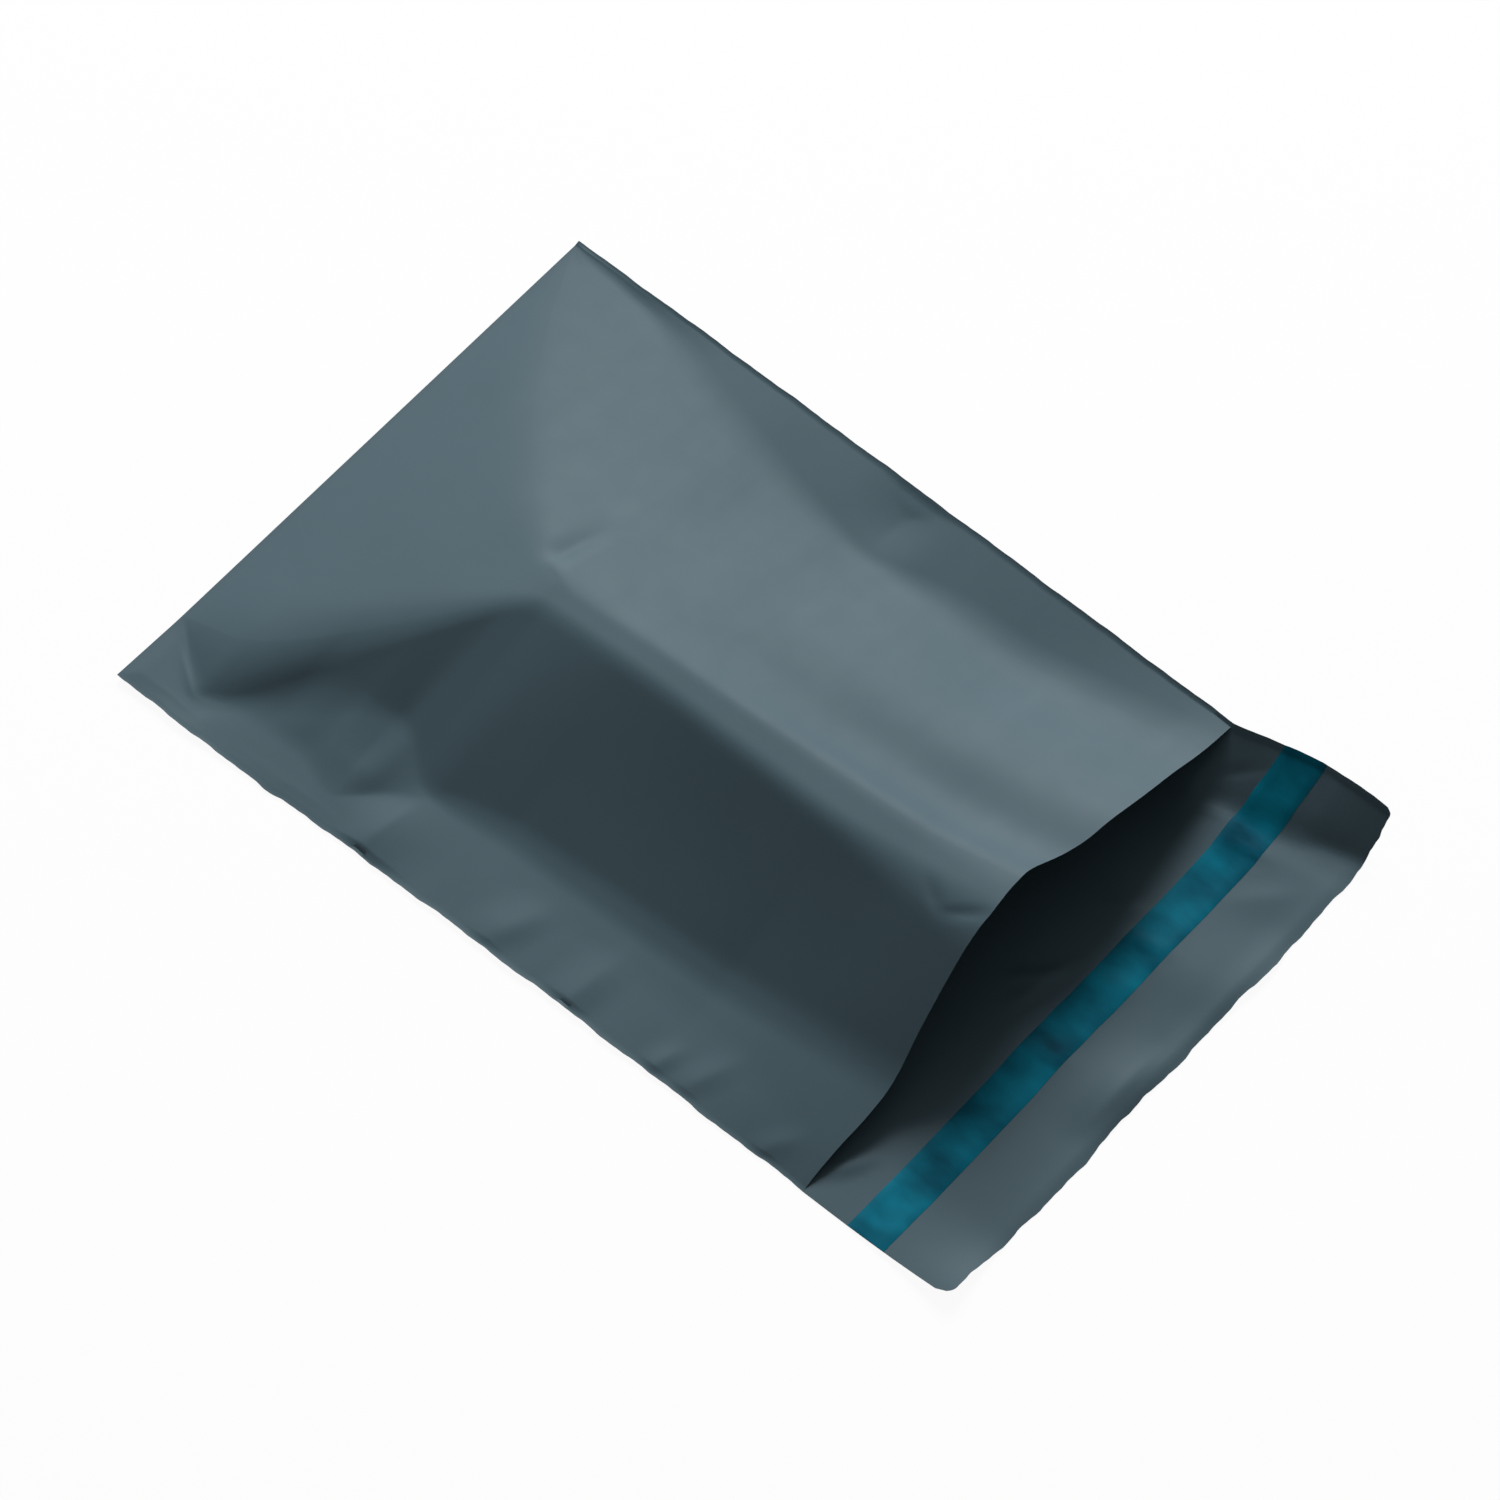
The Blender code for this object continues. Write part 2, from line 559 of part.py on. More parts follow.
def strip(name, x, p, base, thickness, color, roughness):
    """A flat strip across the flap, at height base above the flap's upper face."""
    build = Builder()
    reach = steepness(under_height, x, p)
    low = under_height(x, p) + (FILM + base) * reach
    bottom = build.points(placed(x, p, low))
    top = build.points(placed(x, p, low + thickness * reach))
    build.sheet(bottom)
    build.sheet(top)
    for side in (0, -1):
        build.band(bottom[side], top[side])
        build.band(bottom[:, side], top[:, side])
    return build.finish(name, color, roughness)


def build_part():
    for old in list(bpy.data.objects):
        bpy.data.objects.remove(old, do_unlink=True)

    x, p = bag_grid()
    flap_x, flap_p, lines = flap_grid(x[:, -1], p[:, -1])
    bag_film(x, p, flap_x, flap_p)

    liner_rows = slice(lines[0], lines[3] + 1)
    adhesive_rows = slice(lines[1], lines[2] + 1)
    strip(
        "adhesive_strip",
        flap_x[:, adhesive_rows],
        flap_p[:, adhesive_rows],
        base=SEAT,
        thickness=ADHESIVE_THICKNESS,
        color=(0.55, 0.5, 0.38),
        roughness=0.4,
    )
    strip(
        "release_liner",
        flap_x[:, liner_rows],
        flap_p[:, liner_rows],
        base=2 * SEAT + ADHESIVE_THICKNESS,
        thickness=LINER_THICKNESS,
        color=(0.006, 0.1, 0.14),
        roughness=0.35,
    )


build_part()
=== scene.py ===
import bmesh
import bpy
import numpy as np
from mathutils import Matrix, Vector


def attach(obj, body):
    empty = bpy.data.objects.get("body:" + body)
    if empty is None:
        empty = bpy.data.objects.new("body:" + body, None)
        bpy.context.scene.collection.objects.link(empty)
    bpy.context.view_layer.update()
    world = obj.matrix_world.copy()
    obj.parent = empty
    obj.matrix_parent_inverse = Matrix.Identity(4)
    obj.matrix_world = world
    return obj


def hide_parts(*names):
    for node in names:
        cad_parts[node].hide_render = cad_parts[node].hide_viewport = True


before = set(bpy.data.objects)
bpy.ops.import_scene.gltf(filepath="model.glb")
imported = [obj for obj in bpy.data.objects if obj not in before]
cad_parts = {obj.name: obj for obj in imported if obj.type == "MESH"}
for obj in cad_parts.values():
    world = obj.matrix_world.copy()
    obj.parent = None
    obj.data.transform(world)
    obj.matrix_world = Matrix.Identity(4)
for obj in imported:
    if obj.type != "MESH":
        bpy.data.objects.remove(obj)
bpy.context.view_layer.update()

MM = 0.001

# Film web
BAG_WIDTH = 190 * MM
BAG_LENGTH = 246 * MM  # bottom fold to the front panel's cut edge, along the film
FLAP_LENGTH = 51 * MM
FILM = 0.06 * MM
WELD = 1 * MM  # each side weld
FOLD_DEPTH = 0.5 * MM  # the panels lie pressed together this far in from the bottom fold
PANEL_GAP = 0.3 * MM  # least air between the panels
GAP_REACH = 4 * MM  # distance from a weld or the fold at which that air is reached

# Closing strip on the inner face of the flap
LINER_WIDTH = 12.5 * MM
LINER_THICKNESS = 0.05 * MM
LINER_FROM_END = 23 * MM  # free film between the liner and the flap's cut edge
ADHESIVE_WIDTH = 10 * MM
ADHESIVE_THICKNESS = 0.1 * MM
SEAT = 0.2 * MM  # clearance between film and adhesive, and between adhesive and liner

# Puffed front panel. A closed bottom end rises from the fold to a pinch, where its two hips meet.
# From there a narrow roof runs to the mouth, with a slope down to a low strip on each side.
PINCH_AT = 78 * MM
END_RISE = 0.27  # slope of the bottom end

# Upper edges of the two slopes, which are hips up to the pinch and the roof's edges past it.
# Each row is distance from the fold, x, rounding.
NEAR_RIDGE = (
    (0, -70 * MM, 4 * MM),
    (21 * MM, -67 * MM, 16 * MM),
    (35 * MM, -56.5 * MM, 15 * MM),
    (50 * MM, -41 * MM, 12 * MM),
    (62 * MM, -28 * MM, 8 * MM),
    (PINCH_AT, -12.5 * MM, 3 * MM),
    (125 * MM, -12.5 * MM, 3 * MM),
    (190 * MM, -15 * MM, 3.5 * MM),
    (BAG_LENGTH, -16 * MM, 9.5 * MM),
)
FAR_RIDGE = (
    (0, 92.4 * MM, 1 * MM),
    (18 * MM, 58 * MM, 14 * MM),
    (34 * MM, 36 * MM, 14 * MM),
    (50 * MM, 18 * MM, 10 * MM),
    (70 * MM, 2 * MM, 4 * MM),
    (PINCH_AT, -3 * MM, 2.5 * MM),
    (150 * MM, -2.5 * MM, 2.5 * MM),
    (213 * MM, -1 * MM, 4 * MM),
    (BAG_LENGTH, 3 * MM, 9.5 * MM),
)
# Height of the roof's far edge, from the fold to the mouth. The near edge is a little lower.
ROOF = ((113 * MM, 23.8 * MM), (170 * MM, 26.5 * MM), (213 * MM, 29.5 * MM), (BAG_LENGTH, 34 * MM))
ROOF_FALL = 0.1 * MM

# Foot of the near slope: distance from the fold, x, height, rounding
NEAR_FOOT = (
    (0, -71 * MM, 0, 1 * MM),
    (20.5 * MM, -86.5 * MM, 0.4 * MM, 1 * MM),
    (28 * MM, -82.5 * MM, 0.55 * MM, 2.5 * MM),
    (42 * MM, -70 * MM, 1.8 * MM, 8 * MM),
    (50 * MM, -64.5 * MM, 3.6 * MM, 8 * MM),
    (60 * MM, -60 * MM, 4.8 * MM, 3.5 * MM),
    (70 * MM, -57.5 * MM, 4.2 * MM, 2 * MM),
    (76 * MM, -59 * MM, 4 * MM, 2 * MM),
    (86 * MM, -67 * MM, 1.5 * MM, 2 * MM),
    (91 * MM, -68.5 * MM, 0.9 * MM, 2 * MM),
    (100 * MM, -66.5 * MM, 0.9 * MM, 4 * MM),
    (115 * MM, -64 * MM, 1 * MM, 5 * MM),
    (190 * MM, -61 * MM, 2.4 * MM, 6 * MM),
    (BAG_LENGTH, -57 * MM, 8.6 * MM, 6 * MM),
)
# A second bend in the near strip. It points at the weld where the panel buckles at the pinch.
NEAR_KNEE = (
    (0, -80 * MM, 0, 1 * MM),
    (20.5 * MM, -90.5 * MM, 0.3 * MM, 1 * MM),
    (34 * MM, -82 * MM, 0.45 * MM, 3 * MM),
    (55 * MM, -80.5 * MM, 0.5 * MM, 3 * MM),
    (70 * MM, -86 * MM, 0.5 * MM, 1.5 * MM),
    (79 * MM, -77.5 * MM, 0.8 * MM, 1.5 * MM),
    (90 * MM, -71.5 * MM, 0.85 * MM, 1.5 * MM),
    (100 * MM, -74 * MM, 0.8 * MM, 2 * MM),
    (190 * MM, -74.5 * MM, 1.2 * MM, 4 * MM),
    (BAG_LENGTH, -81 * MM, 3.4 * MM, 4 * MM),
)
# Foot of the far slope: distance from the fold, distance from the far edge, height, rounding
FAR_FOOT = (
    (0, 2.1 * MM, 0, 1 * MM),
    (29 * MM, 3.6 * MM, 0.8 * MM, 1.5 * MM),
    (50 * MM, 8.5 * MM, 1.9 * MM, 5 * MM),
    (62 * MM, 14 * MM, 2.9 * MM, 6 * MM),
    (80 * MM, 18.5 * MM, 3.4 * MM, 6 * MM),
    (100 * MM, 23 * MM, 3.5 * MM, 6 * MM),
    (130 * MM, 26 * MM, 4 * MM, 2.5 * MM),
    (160 * MM, 23 * MM, 5 * MM, 7 * MM),
    (190 * MM, 22 * MM, 6 * MM, 8 * MM),
    (232 * MM, 15 * MM, 10.8 * MM, 9 * MM),
    (BAG_LENGTH, 13 * MM, 13.2 * MM, 9 * MM),
)
NEAR_SAG = 1 * MM  # the near slope hollows in by this past the pinch

# The far slope steepens, turns into a terrace and steepens again on its way down.
TERRACE_DEPTH = 2.1 * MM
TERRACE_FROM = 95 * MM  # distance from the fold at which the terrace begins
TERRACE_GROWTH = 105 * MM  # it reaches its full depth after this
TERRACE_LEAN = 0.9  # moves the terrace towards the roof
TERRACE_EASE = 0.03  # rounds its start, as a share of the slope

# The far edge of both panels lifts towards the mouth and is drawn in by the puffed front.
FAR_LIFT = 12 * MM
FAR_DRAW_IN = 9.3 * MM
DRAW_IN_BEND = 1.15
# The near edge wanders by this: distance from the fold, x from where a straight edge would be
NEAR_EDGE = (
    (0, -1.6 * MM),
    (56 * MM, -1.4 * MM),
    (61 * MM, -0.4 * MM),
    (80 * MM, -0.3 * MM),
    (105 * MM, 0.2 * MM),
    (160 * MM, 0.7 * MM),
    (258 * MM, 0.7 * MM),
    (264 * MM, -0.6 * MM),
    (276 * MM, -0.9 * MM),
    (BAG_LENGTH + FLAP_LENGTH, -1.5 * MM),
)
# The front panel's cut edge bows back in the middle of the mouth: x, depth, half width. Where the
# depth is below 0 the edge bows out.
MOUTH_BOWS = (
    (-20 * MM, 2.2 * MM, 40 * MM),
    (2 * MM, 1.9 * MM, 16 * MM),
    (13 * MM, 2.1 * MM, 15 * MM),
    (-64 * MM, -1.4 * MM, 22 * MM),
    (44 * MM, -0.7 * MM, 20 * MM),
)
# Crease under the lifted edge: distance from the fold, distance from the far edge
FAR_CREASE = (
    (0, 1.9 * MM),
    (82 * MM, 15 * MM),
    (130 * MM, 26 * MM),
    (BAG_LENGTH, 22 * MM),
)
# Past the mouth, from the mouth: distance, draw-in, lift, distance from crease to far edge
FLAP_EDGE = (
    (16 * MM, 4 * MM, 10.3 * MM, 22 * MM),
    (29 * MM, 2 * MM, 10.4 * MM, 20.5 * MM),
    (42 * MM, 1.3 * MM, 10 * MM, 15.5 * MM),
    (FLAP_LENGTH, 1.3 * MM, 9.3 * MM, 13 * MM),
)
FLAP_SETTLE = 18 * MM  # the crease under the lifted edge turns sharp over this, from the mouth

# Lifted corner at the near end of the bottom fold
TIP_LIFT = 1.2 * MM
TIP_WIDTH = 22.5 * MM
TIP_LENGTH = 37 * MM
TIP_ROUND = 0.12  # rounding of its crease, as a share of its size

# Creases of the front panel: x and distance from the fold at the first end and at the last end, the
# share of the way at which the crease is highest, its height (below 0 for a valley), its width on
# one side and on the other, and its rounding. The first of the two sides faces +X where the crease
# runs towards the mouth.
CREASES = (
    # Crest beside the lifted corner, and the bulge that it ends at
    (-71.5 * MM, -4 * MM, -90.5 * MM, 25 * MM, 0.7, 0.6 * MM, 3 * MM, 9 * MM, 0.6 * MM),
    (-69 * MM, -6 * MM, -61 * MM, 48 * MM, 0.5, 0.5 * MM, 24 * MM, 15 * MM, 11 * MM),
    # Crown and edges of the buckle at the pinch
    (-77 * MM, 56 * MM, -75 * MM, 83 * MM, 0.5, 0.7 * MM, 17 * MM, 13 * MM, 2 * MM),
    (-90 * MM, 69.5 * MM, -56 * MM, 68.5 * MM, 0.5, -0.6 * MM, 7 * MM, 6 * MM, 1 * MM),
    (-87 * MM, 70 * MM, -69 * MM, 88 * MM, 0.4, -0.35 * MM, 6 * MM, 5 * MM, 0.6 * MM),
    (-66 * MM, 91 * MM, -103 * MM, 85.5 * MM, 0.55, 1.4 * MM, 14 * MM, 9 * MM, 1.2 * MM),
    # Small buckles that run in from the near weld
    (-99 * MM, 129 * MM, -69 * MM, 142 * MM, 0.4, 0.8 * MM, 9 * MM, 6 * MM, 1.8 * MM),
    (-102 * MM, 159.5 * MM, -66 * MM, 165 * MM, 0.35, 0.8 * MM, 8 * MM, 7 * MM, 1 * MM),
    (-98 * MM, 190 * MM, -80 * MM, 195 * MM, 0.4, 0.6 * MM, 5 * MM, 4 * MM, 0.8 * MM),
    (-98 * MM, 200 * MM, -72 * MM, 210 * MM, 0.4, 0.6 * MM, 6 * MM, 5 * MM, 0.8 * MM),
    (-98 * MM, 226 * MM, -80 * MM, 238 * MM, 0.5, 0.5 * MM, 5 * MM, 5 * MM, 0.8 * MM),
    # Buckle that runs in from the far weld
    (63 * MM, 131 * MM, 99 * MM, 134 * MM, 0.5, -1.1 * MM, 14 * MM, 12 * MM, 1.5 * MM),
    # Hook at the pinch
    (-4 * MM, 86 * MM, 3 * MM, 69 * MM, 0.6, 0.4 * MM, 2 * MM, 3 * MM, 0.4 * MM),
    (-2 * MM, 72.5 * MM, 28 * MM, 78.5 * MM, 0.25, -1 * MM, 6 * MM, 4.5 * MM, 1.2 * MM),
    # Notch in the near edge of the roof, near the mouth
    (-12 * MM, 217 * MM, -20 * MM, 230 * MM, 0.6, -0.5 * MM, 3 * MM, 2 * MM, 0.5 * MM),
    (-21 * MM, 225 * MM, -11 * MM, 243 * MM, 0.6, -0.6 * MM, 1.8 * MM, 3 * MM, 0.4 * MM),
)

# Creases of the back panel and the flap, listed like those of the front panel
UNDER_CREASES = (
    # Curl of the near edge
    (-97 * MM, 0, -96.5 * MM, 66 * MM, 0.45, 0.8 * MM, 6 * MM, 3 * MM, 0.5 * MM),
    (-97 * MM, 40 * MM, -97 * MM, 260 * MM, 0.5, 1.3 * MM, 7 * MM, 3 * MM, 0.5 * MM),
    # Groove beside the flap's far crease
    (68 * MM, 244 * MM, 83 * MM, 303 * MM, 0.6, -0.3 * MM, 4 * MM, 2.2 * MM, 0.4 * MM),
    # Two creases that run from inside the mouth to the liner
    (63.5 * MM, 238 * MM, 68.5 * MM, 273 * MM, 0.5, 1.7 * MM, 3.5 * MM, 22 * MM, 0.6 * MM),
    (67 * MM, 243 * MM, 88 * MM, 265 * MM, 0.5, -0.35 * MM, 3 * MM, 2 * MM, 0.4 * MM),
    # Rolled lip in the middle of the flap's cut edge, and a low rim along all of it
    (-38 * MM, 290.5 * MM, 4 * MM, 290.5 * MM, 0.5, 2 * MM, 14 * MM, 6 * MM, 0.6 * MM),
    (-110 * MM, 294.6 * MM, 110 * MM, 294.6 * MM, 0.5, 0.5 * MM, 5 * MM, 2 * MM, 0.3 * MM),
    # Swells of the flap
    (20 * MM, 240 * MM, 24 * MM, 330 * MM, 0.5, 0.9 * MM, 18 * MM, 12 * MM, 5 * MM),
    (64 * MM, 236 * MM, 69 * MM, 318 * MM, 0.5, 0.4 * MM, 5 * MM, 14 * MM, 2 * MM),
    (42 * MM, 270 * MM, 66 * MM, 294 * MM, 0.5, 0.4 * MM, 5 * MM, 8 * MM, 1 * MM),
    # Small creases under the liner and inside the mouth
    (20 * MM, 257 * MM, 25 * MM, 279 * MM, 0.4, 0.45 * MM, 4 * MM, 2 * MM, 0.4 * MM),
    (61 * MM, 258 * MM, 65 * MM, 280 * MM, 0.5, 0.5 * MM, 3 * MM, 2 * MM, 0.4 * MM),
    (2 * MM, 257 * MM, 12 * MM, 279 * MM, 0.5, 0.35 * MM, 5 * MM, 7 * MM, 1 * MM),
    (-26 * MM, 254 * MM, -16 * MM, 282 * MM, 0.5, 0.5 * MM, 6 * MM, 12 * MM, 1.5 * MM),
    (-12 * MM, 243 * MM, 3 * MM, 258 * MM, 0.5, 1 * MM, 3 * MM, 3 * MM, 0.5 * MM),
    (-22 * MM, 250 * MM, 14 * MM, 258 * MM, 0.5, 0.8 * MM, 3 * MM, 2.5 * MM, 0.4 * MM),
    (26 * MM, 247 * MM, 30 * MM, 263 * MM, 0.6, 0.7 * MM, 3.5 * MM, 3.5 * MM, 0.5 * MM),
    (-88 * MM, 247 * MM, -70 * MM, 256 * MM, 0.4, 0.7 * MM, 4 * MM, 3 * MM, 0.5 * MM),
)

# Small waves of the edges: length, height, start in radians
EDGE_WAVES = (
    (38 * MM, 0.2 * MM, 0.4),
    (17 * MM, 0.13 * MM, 2.1),
    (9.1 * MM, 0.07 * MM, 4),
    (4.3 * MM, 0.04 * MM, 1.2),
)
FAR_WAVES = 0.5  # share of these waves in the far edge
CUT_WAVES = 1.6  # share of these waves in the flap's cut edge
FAR_CURL = 0.5 * MM  # height by which the far edge turns up
CURL_WIDTH = 2 * MM  # width of the film that turns up there
# The flap's cut edge isn't straight: x, how far it falls short
CUT_EDGE = (
    (-95 * MM, 1.5 * MM),
    (-79 * MM, 1.2 * MM),
    (-75 * MM, 0.2 * MM),
    (-20 * MM, 0.2 * MM),
    (20 * MM, -0.5 * MM),
    (52 * MM, -0.3 * MM),
    (70 * MM, 0.3 * MM),
    (95 * MM, 0.7 * MM),
)
# Waves of the flap's cut edge: x, height, half width, reach in from the cut edge
FLAP_WAVES = (
    (-95 * MM, 3.5 * MM, 26 * MM, 40 * MM),
    (34 * MM, 1 * MM, 18 * MM, 24 * MM),
)
CORNER_RADII = (4 * MM, 1.5 * MM)  # near and far corner of the flap

# Other roundings. Each is half of the stretch that is rounded.
UNDER_ROUND = 7 * MM  # crease under the lifted edge, in the bag
FLAP_ROUND = 1.5 * MM  # the same crease in the flap
UNDER_ROOM = 0.45  # most that these two can be, as a share of the lifted width
PINCH_ROUND = 3 * MM
LINE_ROUND = 6 * MM  # bends of the lines that run along the bag
CRISP_ROUND = 2 * MM  # bends of the lines that turn sharply
CREASE_FOOT = 0.4  # at the foot of a crease's side, as a share of that side's width

# The two strips as they are seen: air under the adhesive, under the liner past the adhesive's
# thickness, and under the long edges of both, which lie down on the film
ADHESIVE_AIR = SEAT / 4
LINER_AIR = SEAT / 2
EDGE_AIR = 0.01 * MM

# Spacing of the faces
FINE_ROWS = (55 * MM, 100 * MM)  # the buckles at the pinch lie between these
ROW_PITCH = 1.15 * MM
FINE_PITCH = 0.8 * MM
FLAP_PITCH = 1.4 * MM
# Columns of the outer and inner near strip, the near slope, the roof, the far slope, the far strip
COLUMNS = (20, 16, 36, 12, 42, 24)
COARSE = 3  # the hidden back and floor of the pocket take every third row and column
SMOOTH_ANGLE = np.radians(40)

# Colours and gloss
FILM_DARK = (0.069, 0.113, 0.137)
FILM_PALE = (0.073, 0.119, 0.144)
FILM_SHEEN = 0.12
# Teal of the liner, darker and paler: the blotches between these two are painted shade and painted
# light standing in for the film's undulations
LINER_PAINTED_SHADE = (0.002, 0.06, 0.1)
LINER_PAINTED_LIGHT = (0.005, 0.23, 0.34)
LINER_SHEEN = 0.03
ADHESIVE_DARK = (0.5, 0.45, 0.33)
ADHESIVE_PALE = (0.6, 0.55, 0.42)
MIDDLE = (0.3, 0.7)  # range over which a noise goes from its low to its high value

# Studio, in metres, watts and degrees
KEY_DIRECTION = (1.0, 0.73, 0.75)
KEY_DISTANCE = 2.5
KEY_SIZE = 1
KEY_POWER = 84
FILL = 0.107
FLOOR_SIZE = 6
FLOOR_DROP = 0.2 * MM  # the floor lies this far under the film
FLOOR_GREY = 0.15  # what the floor gives back to the object
FLOOR_WHITE = 0.85  # what is added to that for the camera
FLOOR_GLOW = 0.94  # share of the floor that shines white for the camera
CAMERA_LENS = 180
CAMERA_SENSOR = 36
CAMERA_CLIP = (0.05, 50)
CAMERA_AZIMUTH = -49.26
CAMERA_ELEVATION = 59.12
CAMERA_TARGET = (-0.00072, 0.00171, 0)
CAMERA_DISTANCE = 2.0474

FOLD_Y = (BAG_LENGTH + FLAP_LENGTH) / 2
NEAR_X = -BAG_WIDTH / 2
FAR_X = BAG_WIDTH / 2
DOUBLE = 2 * FILM  # the two films of a weld or of the fold


def ramp(distance, half):
    """0 below -half, the distance itself above half, and a smooth bend between."""
    bend = (distance + half) ** 2 / (4 * half)
    return np.where(distance <= -half, 0, np.where(distance >= half, distance, bend))


def bent_line(t, knots, halves):
    """Value at t of the line through the knots, its inner corners rounded by the half widths."""
    rooms = [b[0] - a[0] for a, b in zip(knots, knots[1:])]
    slopes = [(b[1] - a[1]) / room for a, b, room in zip(knots, knots[1:], rooms)]
    halves = [0, *halves, 0]
    # Two roundings that would run into each other share the room between them.
    shares = [np.minimum(1, room / (halves[k] + halves[k + 1])) for k, room in enumerate(rooms)]
    value = knots[0][1] + slopes[0] * (t - knots[0][0])
    for k in range(1, len(slopes)):
        half = halves[k] * np.minimum(shares[k - 1], shares[k])
        value = value + (slopes[k] - slopes[k - 1]) * ramp(t - knots[k][0], half)
    return value


def along(p, table, column, rounding=LINE_ROUND):
    """A value from one column of a table whose first column is the distance from the fold."""
    knots = [(row[0], row[column]) for row in table]
    return bent_line(p, knots, [rounding] * (len(knots) - 2))


def waver(t):
    """Unevenness of a cut or welded edge at the distance t along it."""
    return sum(size * np.sin(2 * np.pi * t / wave + turn) for wave, size, turn in EDGE_WAVES)


def near_edge(p):
    """The near edge's x at distance p."""
    return NEAR_X + along(p, NEAR_EDGE, 1, CRISP_ROUND) + waver(p)


def flap_table(mouth_values):
    """FLAP_EDGE with distances from the fold, after a first row at the mouth."""
    rows = [(BAG_LENGTH, *mouth_values)]
    return rows + [(BAG_LENGTH + row[0], *row[1:]) for row in FLAP_EDGE]


def far_side(p):
    """The far edge's x and lift, and the x of the crease under it, at distance p."""
    flap = flap_table((FAR_DRAW_IN, FAR_LIFT, FAR_CREASE[-1][1]))
    share = np.maximum(p, 0) / BAG_LENGTH
    in_bag = p <= BAG_LENGTH
    inside = np.minimum(p, BAG_LENGTH)
    beyond = np.maximum(p, BAG_LENGTH)
    draw = np.where(in_bag, FAR_DRAW_IN * share**DRAW_IN_BEND, along(beyond, flap, 1))
    draw = draw + FAR_WAVES * waver(p + BAG_LENGTH)
    lift = np.where(in_bag, FAR_LIFT * share, along(beyond, flap, 2))
    crease = np.where(in_bag, along(inside, FAR_CREASE, 1), along(beyond, flap, 3))
    return FAR_X - draw, lift, FAR_X - draw - crease


def bump(distance, half):
    """A smooth bump, 1 at distance 0 and 0 from half on."""
    return np.where(np.abs(distance) < half, (1 + np.cos(np.pi * distance / half)) / 2, 0)


def flap_waves(x, p):
    """Height that the waves of the flap's cut edge add."""
    end = BAG_LENGTH + FLAP_LENGTH
    height = 0
    for at, top, half, reach in FLAP_WAVES:
        height = height + top * bump(x - at, half) * np.clip(1 - (end - p) / reach, 0, 1) ** 2
    return height


def crease(x, p, start_x, start_p, end_x, end_p, peak, height, left, right, rounding):
    """Height of a tent-shaped crease that rises from its two ends to its peak."""
    length = np.hypot(end_x - start_x, end_p - start_p)
    along_x = (end_x - start_x) / length
    along_p = (end_p - start_p) / length
    share = ((x - start_x) * along_x + (p - start_p) * along_p) / length
    side = (x - start_x) * along_p - (p - start_p) * along_x
    knots = ((-2 * right, 0), (-right, 0), (0, 1), (left, 0), (2 * left, 0))
    tent = bent_line(side, knots, (CREASE_FOOT * right, rounding, CREASE_FOOT * left))
    rise = np.where(share < peak, bump(share - peak, peak), bump(share - peak, 1 - peak))
    return height * rise * tent


def under_height(x, p):
    """Height of the underside of the back panel and the flap."""
    edge_x, lift, crease_x = far_side(p)
    rise = lift / (edge_x - crease_x)
    room = UNDER_ROOM * (edge_x - crease_x)
    past_mouth = np.clip((p - BAG_LENGTH) / FLAP_SETTLE, 0, 1)
    rounding = UNDER_ROUND + (FLAP_ROUND - UNDER_ROUND) * past_mouth
    height = rise * ramp(x - crease_x, np.minimum(rounding, room))
    tip = 1 - (x - NEAR_X) / TIP_WIDTH - p / TIP_LENGTH
    height = height + TIP_LIFT * ramp(tip, TIP_ROUND) + FAR_CURL * bump(x - edge_x, CURL_WIDTH)
    for values in UNDER_CREASES:
        height = height + crease(x, p, *values)
    return height + flap_waves(x, p)


def roof_height(p):
    """Height of the roof's far edge above the welded films."""
    at_pinch = END_RISE * (PINCH_AT - FOLD_DEPTH)
    knots = ((FOLD_DEPTH, 0), (PINCH_AT, at_pinch), *ROOF)
    return bent_line(p, knots, [PINCH_ROUND] + [LINE_ROUND] * (len(ROOF) - 1))


def ribs(p):
    """The seven lines from the fold to the mouth, as (x, height, rounding)."""
    near = near_edge(p)
    far = far_side(p)[0]
    fall = ROOF_FALL * np.clip(p / PINCH_AT, 0, 1)
    return (
        (near + WELD, 0 * p, 0 * p),
        tuple(along(p, NEAR_KNEE, k, CRISP_ROUND) for k in (1, 2, 3)),
        tuple(along(p, NEAR_FOOT, k, CRISP_ROUND) for k in (1, 2, 3)),
        (along(p, NEAR_RIDGE, 1), roof_height(p) - fall, along(p, NEAR_RIDGE, 2)),
        (along(p, FAR_RIDGE, 1), roof_height(p), along(p, FAR_RIDGE, 2)),
        (far - along(p, FAR_FOOT, 1), along(p, FAR_FOOT, 2), along(p, FAR_FOOT, 3)),
        (far - WELD, 0 * p, 0 * p),
    )


